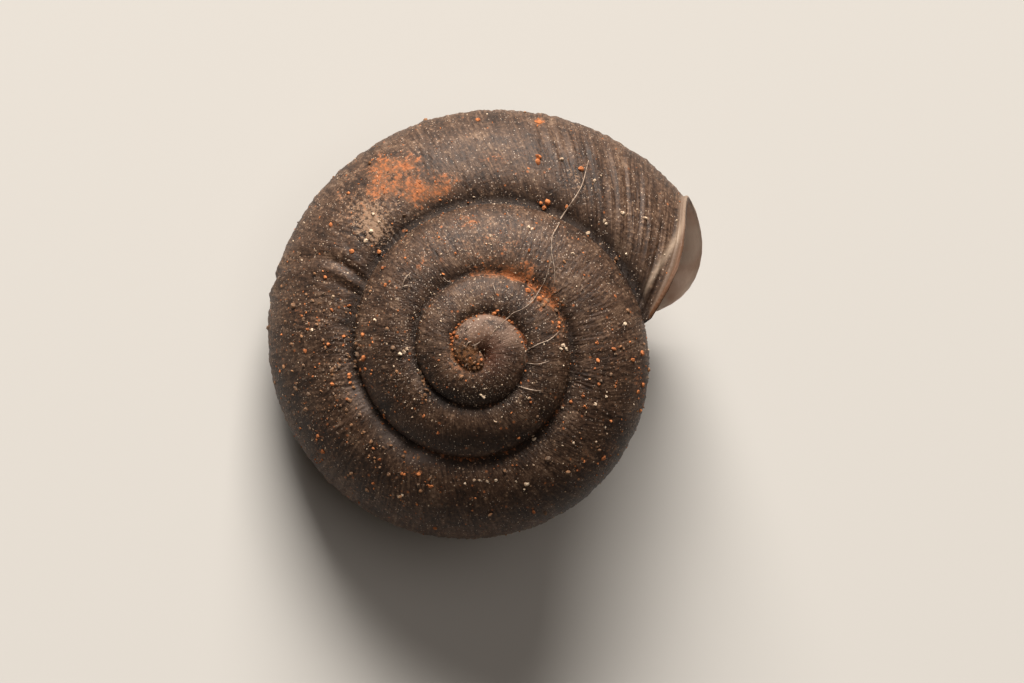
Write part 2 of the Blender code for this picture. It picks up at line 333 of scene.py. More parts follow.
lip_angles, lip_shares = outer_angles[-1], outer_shares[-1]
lip_turn = np.full(END_ROW + 1, LIP_TURN)
edge, _ = tube_points(lip_turn, lip_angles, lip_shares, 0.0)
behind, _ = tube_points(lip_turn - FORWARD_STEP, lip_angles, lip_shares, 0.0)
forward = edge - behind
forward /= np.linalg.norm(forward, axis=1, keepdims=True)
outward = edge - inner_points[-1]
outward -= forward * (outward * forward).sum(axis=1, keepdims=True)
outward /= np.linalg.norm(outward, axis=1, keepdims=True)
flare = LIP_FLARE_TOP + (LIP_FLARE_SHOULDER - LIP_FLARE_TOP) * ramp(lip_shares, *FLARE_TOP_SHARES)
flare = flare + (LIP_FLARE_BASE - LIP_FLARE_SHOULDER) * ramp(lip_shares, *FLARE_BASE_SHARES)
end_fade = ramp(np.minimum(lip_shares, 1 - lip_shares), *FLARE_END_SHARES)
flare = (flare * end_fade)[:, None]
lip_rings = []
for out, ahead, thick_out, thick in LIP_PROFILE:
    sideways = outward * (out * flare + thick_out * LIP_THICKNESS)
    lip_rings.append(edge + sideways + forward * (ahead * flare + thick * LIP_THICKNESS))
print("Lip rings:", len(lip_rings))


# %% Joining the nets into one closed skin
class Net:
    """Collects points, what each one carries, and faces."""

    def __init__(self):
        self.points, self.growth, self.share, self.kind, self.rim, self.strips = [], [], [], [], [], []
        self.count = 0

    def add(self, points, growth, share, kind, rim):
        """kind is 0 outside, up to 1 round the lip, 2 inside; rim is the way left to the lip."""
        shape = points.shape[:-1]
        stores = ((self.growth, growth), (self.share, share), (self.kind, kind), (self.rim, rim))
        for store, values in stores:
            store.append(np.broadcast_to(values, shape).ravel())
        self.points.append(points.reshape(-1, 3))
        numbers = np.arange(self.count, self.count + int(np.prod(shape))).reshape(shape)
        self.count += numbers.size
        return numbers

    def strip(self, near, far):
        """Quads between two equal rows of point numbers, or two stacks of rows."""
        quads = np.stack([near[..., :-1], near[..., 1:], far[..., 1:], far[..., :-1]], axis=-1)
        self.strips.append(quads.reshape(-1, 4))


net = Net()
pole_heights = [float(section_point(NUCLEUS_TURN, side * math.pi / 2)[1]) for side in (1, -1)]
poles = net.add(np.array([[0, 0, height] for height in pole_heights]), NUCLEUS_TURN, 0.0, 0.0, 1.0)
outside = net.add(outer_points, outer_growth, outer_shares, 0.0, outer_rim)
outside[:STATIONS, 0] = poles[0]
outside[:STATIONS, -1] = poles[1]
for station in range(STATIONS, station_count + 1):
    outside[station, 0] = outside[station - STATIONS, TOP_ROW]
    outside[station, -1] = outside[station - STATIONS, LOW_ROW]
inside = net.add(inner_points, inner_growth, inner_shares, 2.0, 0.0)
older = outside[hollow_station - STATIONS:station_count - STATIONS + 1]
inside[:, 0], inside[:, -1] = older[:, INNER_TOP_ROW], older[:, INNER_LOW_ROW]

open_station = station_count - STATIONS
closed = outside[:open_station + 1]
net.strip(closed[:-1, :TOP_ROW + 1], closed[1:, :TOP_ROW + 1])
net.strip(closed[:-1, LOW_ROW:], closed[1:, LOW_ROW:])
net.strip(outside[open_station:-1], outside[open_station + 1:])
side_rows = slice(INNER_TOP_ROW, INNER_LOW_ROW + 1)
net.strip(older[:-1, side_rows], older[1:, side_rows])
net.strip(inside[1:], inside[:-1])
last_ring = outside[-1]
for number, ring in enumerate(lip_rings, start=1):
    progress = number / (len(lip_rings) + 1)
    numbers = net.add(ring, LIP_TURN, lip_shares, progress, -np.linalg.norm(ring - edge, axis=1))
    numbers[0], numbers[-1] = outside[-1, 0], outside[-1, -1]
    net.strip(last_ring, numbers)
    last_ring = numbers
net.strip(last_ring, inside[-1])

faces = []
for corners in np.concatenate(net.strips).tolist():
    ring = list(dict.fromkeys(corners))
    if len(ring) > 2:
        faces.append(ring)
faces.append(outside[0, :TOP_ROW + 1].tolist())
faces.append(outside[0, LOW_ROW:].tolist())
faces.append(inside[0].tolist() + older[0, side_rows][1:-1][::-1].tolist())
print("Faces:", len(faces))

# %% [markdown]
# ## The pose at rest
# Put down on a table, such a shell leans until the foot of its lip and the round of its base
# both touch. The lean was worked out with the solid, so the skin takes the same one and then
# the same place in the frame.

# %% Pose
REST_LEAN, REST_TOWARDS = math.radians(20.2), math.radians(201.5)
FLAT_DEPTH = 0.12 * MILLIMETRE
lean_axis = Vector((-math.sin(REST_TOWARDS), math.cos(REST_TOWARDS), 0))
rest_turn = Matrix.Rotation(REST_LEAN, 3, lean_axis)


def posed(points):
    return points @ np.array(rest_turn).T


used = np.unique(np.concatenate([np.array(face) for face in faces]))
renumber = np.zeros(net.count, dtype=int)
renumber[used] = np.arange(len(used))
coil_points = np.concatenate(net.points)[used]
rest_points = posed(coil_points)
low, high = rest_points.min(axis=0), rest_points.max(axis=0)
rest_shift = np.array([-(low[0] + high[0]) / 2, -(low[1] + high[1]) / 2, -low[2] - FLAT_DEPTH])
rest_points = rest_points + rest_shift


def placed(point):
    """A point of the coil's own frame, in the frame that the shell rests in."""
    return Vector((posed(np.array([point])) + rest_shift)[0])


NUCLEUS_SPOT = placed((0.30 * MILLIMETRE, -0.05 * MILLIMETRE, -0.75 * MILLIMETRE))
print("At rest it measures", np.round((high - low) / MILLIMETRE, 2), "mm")

# %% [markdown]
# ## The view
# The camera looks down the coiling axis from about 20 cm away, through a long lens, so that
# the turns keep their true circles. It is set first, because grains and hairs are later placed
# by looking through a spot of the view onto the skin.

# %% Camera
IMAGE_SIZE = (1024, 683)
VIEW_CENTRE = (480.5, 352.0)
VIEW_SCALE = 0.0386 * MILLIMETRE
VIEW_TILT = math.radians(-1.4)
LENS, SENSOR = 190.0, 36.0
EYE_DISTANCE = IMAGE_SIZE[0] * VIEW_SCALE * LENS / SENSOR
TIP_HEIGHT = -0.6 * MILLIMETRE
EDGE_HEIGHT = -3.4 * MILLIMETRE


def new_object(name, data):
    """An object that is linked to the scene."""
    made = bpy.data.objects.new(name, data)
    bpy.context.scene.collection.objects.link(made)
    return made


axes = [Vector(posed(np.array([axis]))[0]) for axis in ((1.0, 0, 0), (0, 1.0, 0), (0, 0, 1.0))]
view_turn = Matrix(axes).transposed() @ Matrix.Rotation(VIEW_TILT, 3, "X")
tip_distance = EYE_DISTANCE + EDGE_HEIGHT - TIP_HEIGHT
pixel = SENSOR / LENS / IMAGE_SIZE[0] * tip_distance
aim_right = (IMAGE_SIZE[0] / 2 - VIEW_CENTRE[0]) * pixel
aim_up = (VIEW_CENTRE[1] - IMAGE_SIZE[1] / 2) * pixel
eye = placed((0, 0, TIP_HEIGHT)) + view_turn @ Vector((aim_right, aim_up, tip_distance))
camera_data = bpy.data.cameras.new("camera")
camera_data.lens = LENS
camera_data.sensor_width = SENSOR
camera_data.clip_start = 0.01
camera = new_object("camera", camera_data)
camera.matrix_world = Matrix.Translation(eye) @ view_turn.to_4x4()
bpy.context.scene.camera = camera
bpy.context.scene.view_settings.view_transform = "Standard"
print("The camera stands", round(tip_distance, 3), "m away")

# %% [markdown]
# ## Where the soil lies
# Soil has settled in the sutures and the sunken tip, and lies in patches on the last turn.
# An image could say where, but a few soft spots are lighter and easy to move. Each patch is a
# place in the view, a width, a height and a strength. Besides rust and pale soil, they say where
# the seam holds soil, where small grains are busy, where glints are painted and pale grains stand
# in for them, where coarse soil and the filled pit lie, where a grey sheen of light is painted,
# where shade is painted dark, and where light is painted onto the lip's lobe. The sums are kept
# on the points, for the finish and the scattered grains to read.

# %% Soil map
def seen_at(column, row):
    """Place, in the coil's plane, of a spot of the view."""
    return (column - VIEW_CENTRE[0]) * VIEW_SCALE, (VIEW_CENTRE[1] - row) * VIEW_SCALE


RUST_PATCHES = (
    (400, 168, 32, 13, 0.62), (425, 196, 26, 13, 0.58), (385, 190, 24, 20, 0.46), (448, 187, 18, 10, 0.4),
    (352, 205, 22, 22, 0.30), (490, 245, 60, 16, 0.24), (300, 320, 20, 30, 0.26), (412, 472, 16, 10, 0.36),
    (495, 160, 26, 9, 0.30), (468, 222, 12, 5, 0.6), (468, 357, 13, 12, 0.35), (420, 262, 30, 14, 0.26),
    (512, 270, 36, 13, 0.40), (540, 298, 24, 18, 0.36), (558, 330, 14, 24, 0.32), (540, 122, 7, 5, 0.7),
    (318, 440, 14, 22, 0.30), (352, 470, 22, 20, 0.22), (606, 350, 24, 30, 0.24), (600, 455, 30, 26, 0.22),
    (640, 390, 9, 26, 0.35), (545, 203, 8, 6, 0.5), (584, 172, 9, 8, 0.4),
)
SEAM_PATCHES = (
    (500, 280, 34, 14, 0.70), (532, 300, 16, 22, 0.62), (553, 322, 10, 22, 0.5), (455, 345, 12, 26, 0.75),
    (490, 318, 36, 10, 0.62), (522, 345, 10, 26, 0.4), (430, 300, 30, 26, 0.36), (430, 440, 40, 24, 0.30),
    (500, 455, 70, 14, 0.36), (570, 420, 40, 40, 0.34), (475, 405, 60, 12, 0.34),
)
PALE_PATCHES = (
    (376, 232, 16, 22, 0.70), (350, 212, 30, 30, 0.42), (330, 330, 26, 50, 0.25), (408, 282, 7, 7, 0.3),
    (500, 195, 60, 14, 0.25), (600, 190, 50, 30, 0.25), (640, 230, 24, 34, 0.3), (390, 200, 30, 20, 0.35),
    (430, 130, 50, 14, 0.3), (470, 300, 60, 30, 0.2), (470, 240, 60, 18, 0.3), (560, 428, 12, 8, 0.45),
    (577, 402, 8, 14, 0.40), (545, 443, 14, 6, 0.45), (505, 462, 24, 5, 0.42), (472, 466, 14, 7, 0.40),
    (424, 392, 7, 12, 0.50), (516, 399, 12, 5, 0.45), (576, 178, 14, 8, 0.35),
)
BUSY_PATCHES = (
    (320, 370, 70, 110, 2.0), (430, 490, 120, 50, 1.2), (600, 420, 60, 70, 0.9), (490, 240, 90, 36, 1.4),
    (400, 330, 50, 70, 0.8), (560, 340, 50, 60, 1.0), (400, 190, 70, 50, 0.8),
)
# Where glints are painted as pale dots, and where pale grains stand in for glints
GLINT_PATCHES = (
    (492, 345, 44, 40, 2.2), (478, 300, 56, 14, 1.2), (406, 355, 14, 60, 2.2), (480, 394, 46, 14, 2.4),
    (560, 380, 34, 44, 0.7), (490, 240, 90, 30, 1.0), (350, 330, 44, 44, 0.7), (500, 190, 90, 16, 0.5),
    (425, 300, 26, 26, 0.8),
)
COARSE_PATCHES = (
    (330, 335, 44, 60, 1.0), (345, 405, 44, 40, 0.7), (400, 472, 44, 24, 0.7), (320, 440, 16, 26, 0.8),
    (350, 292, 44, 22, 0.7), (602, 400, 30, 60, 0.5), (560, 470, 60, 24, 0.4), (425, 386, 7, 26, 1.6),
    (488, 482, 34, 7, 0.9), (556, 300, 14, 40, 0.5), (512, 215, 60, 8, 0.4), (414, 176, 40, 26, 0.15),
)
PIT_PATCHES = ((467, 357, 12.5, 11.5, 1.6), (476, 367, 9, 5, 0.9), (453, 352, 4, 12, 0.5))
# Where a grey sheen of light is painted, on the lit shelf beside the lower left suture
PAINTED_SHEEN_PATCHES = (
    (360, 394, 10, 12, 0.7), (371, 407, 8, 7, 0.9), (386, 422, 9, 9, 0.7), (398, 436, 12, 10, 1.0),
    (423, 455, 18, 7, 0.8),
)
# Where light is painted onto the lip's lobe, which lies in the shell's own shade
PAINTED_LOBE_LIGHT_PATCHES = ((688, 282, 8, 12, 1.5), (697, 240, 8, 24, 0.40), (684, 298, 12, 8, 0.3))
# Where shade is painted: darker patches beside the sutures, on shaded slopes and down the left side
PAINTED_SHADE_PATCHES = (
    (408, 227, 16, 7, 0.80), (440, 207, 24, 5, 0.50), (384, 252, 8, 14, 0.50), (384, 414, 9, 22, 0.70),
    (402, 436, 14, 8, 0.60), (474, 441, 56, 12, 0.65), (442, 394, 18, 12, 0.60), (486, 397, 38, 11, 0.70),
    (545, 440, 40, 14, 0.35), (300, 420, 16, 50, 0.40), (560, 500, 70, 20, 0.25), (350, 470, 30, 20, 0.35),
    (432, 368, 9, 26, 0.50), (505, 312, 22, 7, 0.40), (526, 330, 10, 14, 0.35), (500, 201, 60, 5, 0.45),
    (394, 350, 16, 60, 0.25), (308, 360, 30, 70, 0.18), (545, 392, 12, 30, 0.25), (640, 292, 12, 22, 0.40),
    (592, 232, 14, 9, 0.45), (610, 248, 12, 11, 0.50), (624, 270, 10, 14, 0.50), (550, 205, 24, 5, 0.35),
)


# Each map's patches, and how much of it lies everywhere
MAPS = {
    "rust": (RUST_PATCHES, 0.0), "seam": (SEAM_PATCHES, 0.0), "pale": (PALE_PATCHES, 0.0),
    "busy": (BUSY_PATCHES, 0.35), "glint": (GLINT_PATCHES, 0.30), "coarse": (COARSE_PATCHES, 0.03),
    "pit": (PIT_PATCHES, 0.0), "painted_sheen": (PAINTED_SHEEN_PATCHES, 0.0), "dark": (PAINTED_SHADE_PATCHES, 0.0),
    "lobe": (PAINTED_LOBE_LIGHT_PATCHES, 0.0),
}
PAINTED_SHADE_MOST = 0.85
SHELF_SHARE, SHELF_FADE, SHELF_TURN = 0.14, 0.07, 1.5
UPPER_SHARE, UPPER_FADE = 0.42, 0.06


def patch_sum(patches, everywhere):
    """How thickly a set of patches covers each point of the coil."""
    total = np.zeros(len(coil_points))
    for column, row, wide, tall, strength in patches:
        middle_x, middle_y = seen_at(column, row)
        across = (coil_points[:, 0] - middle_x) / (wide * VIEW_SCALE)
        along = (coil_points[:, 1] - middle_y) / (tall * VIEW_SCALE)
        total += strength * np.exp(-(across ** 2 + along ** 2))
    return everywhere + total


stores = {"growth": net.growth, "share": net.share, "kind": net.kind, "rim": net.rim}
carried = {name: np.concatenate(parts)[used] for name, parts in stores.items()}
point_groove = np.zeros(net.count)
point_groove[outside[:, 1:-1].ravel()] = groove[:, 1:-1].ravel()
carried["groove"] = point_groove[used]
maps = {name: patch_sum(*entry) for name, entry in MAPS.items()}
maps["rust"] += carried["groove"] ** 2 * maps.pop("seam")
maps["dark"] = np.minimum(maps["dark"], PAINTED_SHADE_MOST)
# The painted sheen lies only on the shelf of the last turn
maps["painted_sheen"] *= ramp(SHELF_SHARE - carried["share"], 0.0, SHELF_FADE) * (carried["growth"] > SHELF_TURN)
upper_side = (carried["kind"] < 0.01) * ramp(UPPER_SHARE - carried["share"], 0.0, UPPER_FADE)
lip_inside = carried["kind"] > 0.5
for name, values in maps.items():
    carried[name] = values * (lip_inside if name == "lobe" else upper_side)
print("Each point carries", ", ".join(carried))

# %% The skin as a mesh
skin = bpy.data.meshes.new("shell_skin")
skin_faces = [[int(renumber[corner]) for corner in face] for face in faces]
skin.from_pydata(rest_points.tolist(), [], skin_faces)
work = bmesh.new()
work.from_mesh(skin)
bmesh.ops.recalc_face_normals(work, faces=work.faces)
open_edges = sum(not item.is_manifold for item in work.edges)
work.to_mesh(skin)
work.free()
for name, values in carried.items():
    skin.attributes.new(name, "FLOAT", "POINT").data.foreach_set("value", values.astype(np.float32))
skin.shade_smooth()
shell = new_object("shell_body", skin)
print("Skin:", len(skin.vertices), "points,", len(skin.polygons), "faces,", open_edges, "open edges")


# %% [markdown]
# ## A small helper for node trees
# Geometry Nodes and shader trees are written here as short sums. The helper makes a node, sets
# or links each input, and hands back an output, so that a tree reads like a formula.

# %% Tree helper
class Tree:
    """A node tree under construction."""

    def __init__(self, group):
        self.group = group
        self.identifiers = {}

    def plug(self, socket, value):
        if isinstance(value, bpy.types.NodeSocket):
            self.group.links.new(value, socket)
        elif value is not None:
            socket.default_value = value

    def node(self, kind, inputs=None, **settings):
        node = self.group.nodes.new(kind)
        for key, value in settings.items():
            setattr(node, key, value)
        for key, value in (inputs or {}).items():
            self.plug(node.inputs[key], value)
        return node

    def math(self, operation, *values):
        return self.node("ShaderNodeMath", dict(enumerate(values)), operation=operation).outputs[0]

    def add(self, *values):
        total = values[0]
        for value in values[1:]:
            total = self.math("ADD", total, value)
        return total

    def times(self, *values):
        total = values[0]
        for value in values[1:]:
            total = self.math("MULTIPLY", total, value)
        return total

    def step(self, value, low, high):
        """A smooth step of a value, from 0 at low to 1 at high."""
        node = self.node("ShaderNodeMapRange", {0: value, 1: low, 2: high}, interpolation_type="SMOOTHSTEP")
        return node.outputs[0]

    def bell(self, value, middle, width):
        """1 where the value is in the middle, falling to 0 over a few widths."""
        out = self.math("DIVIDE", self.math("SUBTRACT", value, middle), width)
        return self.math("EXPONENT", self.times(out, out, -1.0))

    def vector(self, x, y, z):
        return self.node("ShaderNodeCombineXYZ", {0: x, 1: y, 2: z}).outputs[0]

    def noise(self, vector, scale, detail=2.0, roughness=0.5):
        inputs = {"Vector": vector, "Scale": scale, "Detail": detail, "Roughness": roughness}
        return self.node("ShaderNodeTexNoise", inputs).outputs[0]

    def swing(self, noise):
        """A noise that swings about 0 instead of 0.5."""
        return self.math("SUBTRACT", noise, 0.5)

    def scaled(self, vector, amount):
        return self.node("ShaderNodeVectorMath", {0: vector, "Scale": amount}, operation="SCALE").outputs[0]


def new_finish(name):
    """A material, and the tree of its nodes."""
    material = bpy.data.materials.new(name)
    material.use_nodes = True
    tree = Tree(material.node_tree)
    tree.shader = material.node_tree.nodes["Principled BSDF"]
    return material, tree


def geometry_tree(name):
    group = bpy.data.node_groups.new(name, "GeometryNodeTree")
    group.interface.new_socket("Geometry", in_out="INPUT", socket_type="NodeSocketGeometry")
    group.interface.new_socket("Geometry", in_out="OUTPUT", socket_type="NodeSocketGeometry")
    tree = Tree(group)
    tree.entry = group.nodes.new("NodeGroupInput")
    tree.exit = group.nodes.new("NodeGroupOutput")
    return tree


def size_input(tree, name, kind="NodeSocketFloat"):
    """A named input of a tree."""
    socket = tree.group.interface.new_socket(name, in_out="INPUT", socket_type=kind)
    tree.identifiers[name] = socket.identifier
    return tree.entry.outputs[name]


def kept_value(tree, name):
    """A value that the mesh carries on its points."""
    return tree.node("GeometryNodeInputNamedAttribute", {"Name": name}, data_type="FLOAT").outputs[0]


def close_tree(tree, shape, finish):
    """End a tree: make its instances real and give the result its finish."""
    real = tree.node("GeometryNodeRealizeInstances", {0: shape})
    painted = tree.node("GeometryNodeSetMaterial", {0: real.outputs[0], "Material": finish})
    tree.plug(tree.exit.inputs[0], painted.outputs[0])
    return tree


def grown(tree, holder, sizes, name):
    """Run a tree on an object and return the result as a plain mesh object."""
    modifier = holder.modifiers.new(name, "NODES")
    modifier.node_group = tree.group
    for key, value in sizes.items():
        modifier[tree.identifiers[key]] = value
    graph = bpy.context.evaluated_depsgraph_get()
    mesh = bpy.data.meshes.new_from_object(holder.evaluated_get(graph))
    mesh.name = name
    holder.modifiers.clear()
    print(name, "has", len(mesh.vertices), "points and", len(mesh.polygons), "faces")
    return new_object(name, mesh)


# %% [markdown]
# ## Growth ribs
# Every stop and start of the snail's growth leaves a rib that runs across the turn, sloping
# back from the suture. Ribs could be a bump in the material, but they catch the light at the
# outline too, so they are carved. Noise stretched along the growth value gives ribs of uneven
# width and height. On the first turns small pimples take their place, and one deep scar with a
# ridge on each side marks a season's rest.

# %% Growth rib tree and its inputs
ribs = geometry_tree("growth_ribs")
rib_height = size_input(ribs, "Rib height")
rib_count = size_input(ribs, "Ribs per turn")
fold_height = size_input(ribs, "Fold height")
fold_count = size_input(ribs, "Folds per turn")
pimple_height = size_input(ribs, "Pimple height")
pimple_scale = size_input(ribs, "Pimples per metre")
scar_turn = size_input(ribs, "Scar turn")
scar_height = size_input(ribs, "Scar height")
crest_height = size_input(ribs, "Lip crest height")
skin_finish = size_input(ribs, "Finish", "NodeSocketMaterial")
print("Inputs of the rib tree:", ", ".join(ribs.identifiers))

# %% Ribs, folds and pimples
LINE_WANDER = 0.004
DENTS_PER_METRE = 900.0
RIBS_GROW_TURNS, NEAR_LIP_TURNS = (1.2, 2.4), (2.66, 2.93)

growth = kept_value(ribs, "growth")
share = kept_value(ribs, "share")
kind = kept_value(ribs, "kind")
outer = ribs.math("LESS_THAN", kind, 0.01)
place = ribs.node("GeometryNodeInputPosition").outputs[0]
wander = ribs.noise(ribs.vector(ribs.times(growth, 9.0), ribs.times(share, 5.0), 3.0), 1.0)
steady = ribs.add(growth, ribs.times(wander, LINE_WANDER))
rib_noise = ribs.noise(ribs.vector(ribs.times(steady, rib_count), ribs.times(share, 9.0), 0.0), 1.0, 1.0)
fold_noise = ribs.noise(ribs.vector(ribs.times(steady, fold_count), ribs.times(share, 4.0), 9.0), 1.0, 1.0)
pimple_noise = ribs.noise(place, pimple_scale, 1.0)
dent_noise = ribs.noise(place, DENTS_PER_METRE, 1.0)
late = ribs.step(growth, *RIBS_GROW_TURNS)
near_lip = ribs.step(growth, *NEAR_LIP_TURNS)
rib_size = ribs.add(0.25, ribs.times(late, 0.6), ribs.times(near_lip, -0.25))
fold_size = ribs.add(ribs.times(late, 0.35), ribs.times(near_lip, 0.6))
relief = ribs.add(
    ribs.times(ribs.swing(rib_noise), rib_size, rib_height),
    ribs.times(ribs.swing(fold_noise), fold_size, fold_height),
    ribs.times(ribs.swing(pimple_noise), pimple_height),
    ribs.times(ribs.swing(dent_noise), late, pimple_height, 2.0),
)
print("Nodes for the ribs, folds and pimples:", len(ribs.group.nodes))

# %% Scar and crest
ARCH_SHARE, ARCH_POWER, ARCH_TURNS = 0.32, 0.7, 0.030
SCAR_END_SHARES = (0.30, 0.5)
# Each wave's place past the scar and its width, both in turns, and its part of the scar's height
SCAR_WAVES = ((0.0, 0.0035, -1.5), (0.011, 0.005, 0.6), (-0.009, 0.004, 1.0), (-0.019, 0.003, -0.6))
CREST_START, CREST_ADVANCE, CREST_SHARE = 1.10 * MILLIMETRE, 1.40 * MILLIMETRE, 0.17
CREST_WIDTH, CREST_FADE_SHARE = 0.14 * MILLIMETRE, 0.05


def crest_line(tree, share):
    """How far before the lip its pale crest lies, at a share of the way round."""
    return tree.add(CREST_START, tree.times(tree.step(share, 0.0, CREST_SHARE), -CREST_ADVANCE))


bend = ribs.math("POWER", ribs.math("MINIMUM", ribs.times(share, 1 / ARCH_SHARE), 1.0), ARCH_POWER)
arch = ribs.math("SINE", ribs.times(bend, math.pi))
past_scar = ribs.math("SUBTRACT", growth, ribs.add(scar_turn, ribs.times(arch, ARCH_TURNS)))
scar_reach = ribs.math("SUBTRACT", 1.0, ribs.step(share, *SCAR_END_SHARES))
for middle, width, part in SCAR_WAVES:
    wave = ribs.times(ribs.bell(past_scar, middle, width), scar_reach, scar_height, part)
    relief = ribs.add(relief, wave)
crest = ribs.bell(kept_value(ribs, "rim"), crest_line(ribs, share), CREST_WIDTH)
crest = ribs.times(crest, ribs.math("LESS_THAN", kind, 0.5), ribs.step(share, 0.0, CREST_FADE_SHARE))
relief = ribs.add(ribs.times(relief, outer), ribs.times(crest, crest_height))
normal = ribs.node("GeometryNodeInputNormal").outputs[0]
shift = ribs.scaled(normal, relief)
moved = ribs.node("GeometryNodeSetPosition", {0: ribs.entry.outputs[0], "Offset": shift})
close_tree(ribs, moved.outputs[0], skin_finish)
print("The rib tree has", len(ribs.group.nodes), "nodes")

# %% Carve the ribs
shell_finish, t = new_finish("shell_skin")
body = grown(ribs, shell, {
    "Rib height": 0.12 * MILLIMETRE,
    "Ribs per turn": 340.0,
    "Fold height": 0.20 * MILLIMETRE,
    "Folds per turn": 165.0,
    "Pimple height": 0.06 * MILLIMETRE,
    "Pimples per metre": 6500.0,
    "Scar turn": 2.581,
    "Scar height": 0.075 * MILLIMETRE,
    "Lip crest height": 0.07 * MILLIMETRE,
    "Finish": shell_finish,
}, "snail_shell")
bpy.data.objects.remove(shell)
for vertex in body.data.vertices:
    if vertex.co.z < 0:
        vertex.co.z = 0.0
body.data.shade_smooth()

# %% [markdown]
# ## The finish of the shell
# The skin of the living shell is a thin brown layer. Dead and dry, it is near black and grey-brown
# where it is rubbed, with dust on the ribs. Shade is painted into its colour: darker in the
# suture grooves and in shaded places. A grey sheen is painted where light falls on a shelf of
# the last turn, glints are painted, and light is painted on the lip's lobe. The rim is bare and
# pale, its very edge horn-coloured and a little see-through, and the inside is smooth.
# Noise that follows the growth value streaks it across the turns; noise in object space
# breaks the streaks up. The colours are laid over each other as a painter would, each with a
# cover that says where it shows. In these sums t is the finish's tree.

# %% Finish helpers and colours
def attribute(tree, name):
    return tree.node("ShaderNodeAttribute", attribute_name=name).outputs["Fac"]


def blend(tree, share, first, second):
    node = tree.node("ShaderNodeMix", data_type="RGBA")
    tree.plug(node.inputs[0], share)
    for socket, colour in ((node.inputs[6], first), (node.inputs[7], second)):
        tree.plug(socket, colour if isinstance(colour, bpy.types.NodeSocket) else (*colour, 1.0))
    return node.outputs[2]


SKIN_DARK = (0.0160, 0.0076, 0.0042)
SKIN_BROWN = (0.0680, 0.0350, 0.0200)
SKIN_GREY = (0.1900, 0.1200, 0.0780)
# The colour of painted shade, for the suture grooves and other shaded places
PAINTED_SHADE_COLOUR = (0.0080, 0.0038, 0.0022)
RUST_DEEP = (0.170, 0.048, 0.014)
RUST = (0.350, 0.112, 0.035)
RUST_STAIN = (0.230, 0.105, 0.050)
TAN_DUST = (0.310, 0.190, 0.118)
GLINT = (0.700, 0.560, 0.450)
PIT_BROWN, PIT_DARK = (0.200, 0.086, 0.032), (0.036, 0.015, 0.006)
# Grey of the painted sheen
PAINTED_SHEEN_GREY = (0.215, 0.165, 0.145)
# The lobe's mauve, made pale as painted light
LOBE_MAUVE_PAINTED_LIGHT = (0.940, 0.700, 0.560)
NUCLEUS_BROWN = (0.200, 0.125, 0.090)
NUCLEUS_RED = (0.100, 0.028, 0.012)
LIP_PALE = (0.300, 0.220, 0.160)
LIP_GREY = (0.130, 0.084, 0.058)
LIP_HORN = (0.105, 0.046, 0.021)
INSIDE_MAUVE = (0.560, 0.330, 0.225)
INSIDE_PALE = (0.700, 0.540, 0.430)

# %% Skin, suture and tip
STREAKS_PER_TURN, BROAD_STREAKS_PER_TURN = 420.0, 30.0
MOTTLE_PER_METRE, FINE_PER_METRE = 1400.0, 7000.0
RED_SPOT_SIZE = 0.62 * MILLIMETRE

growth = attribute(t, "growth")
share = attribute(t, "share")
kind = attribute(t, "kind")
outer = t.math("LESS_THAN", kind, 0.01)
space = t.node("ShaderNodeTexCoord").outputs["Object"]
streak = t.noise(t.vector(t.times(growth, STREAKS_PER_TURN), t.times(share, 16.0), 1.0), 1.0, 3.0, 0.6)
broad = t.noise(t.vector(t.times(growth, BROAD_STREAKS_PER_TURN), t.times(share, 6.0), 5.0), 1.0, 3.0)
mottle = t.noise(space, MOTTLE_PER_METRE, 4.0, 0.7)
fine = t.noise(space, FINE_PER_METRE, 3.0, 0.75)
tone = t.add(t.times(streak, 0.30), t.times(broad, 0.20), t.times(mottle, 0.30), t.times(fine, 0.40))
nucleus = t.math("SUBTRACT", 1.0, t.step(growth, -0.1, 0.25))
centre = t.node("ShaderNodeVectorMath", {0: space, 1: tuple(NUCLEUS_SPOT)}, operation="DISTANCE")
red_spot = t.bell(centre.outputs["Value"], 0.0, RED_SPOT_SIZE)
layers = [
    (t.step(tone, 0.48, 0.66), SKIN_BROWN),
    (t.step(tone, 0.60, 0.78), SKIN_GREY),
    # Painted shade: the suture grooves are darkened where shade falls in them
    (t.times(attribute(t, "groove"), 0.7), PAINTED_SHADE_COLOUR),
    # Painted shade: dark patches where shade falls beside the sutures and on the lower and left slopes
    (attribute(t, "dark"), PAINTED_SHADE_COLOUR),
    (t.times(nucleus, t.step(mottle, 0.35, 0.6), 0.8), NUCLEUS_BROWN),
    (t.times(red_spot, 0.85), NUCLEUS_RED),
    # Painted sheen: a grey sheen where light falls on the shelf of the last turn
    (t.times(attribute(t, "painted_sheen"), 0.7), PAINTED_SHEEN_GREY),
]
print("Layers of the skin, suture and tip:", len(layers))


# %% Dust, soil and painted glints on the skin
def specks(scale, size, amount):
    """Small separate dots: their centres are sparse cells of a random pattern."""
    cells = t.node("ShaderNodeTexVoronoi", {"Vector": space, "Scale": scale})
    chance = t.node("ShaderNodeSeparateColor", {0: cells.outputs["Color"]})
    near = t.step(cells.outputs["Distance"], t.times(size, t.add(0.5, chance.outputs[1])), size * 0.3)
    return t.times(near, t.math("LESS_THAN", chance.outputs[0], amount))


rust_map, pale_map = attribute(t, "rust"), attribute(t, "pale")
busy = t.times(t.step(mottle, 0.38, 0.60), attribute(t, "busy"))
# Painted highlights: tiny pale dots in the colour stand in for glints off the pimples
glints = specks(13000.0, 0.30, t.add(0.14, t.times(attribute(t, "glint"), 0.20)))
layers.append((t.times(glints, outer, 0.65), GLINT))
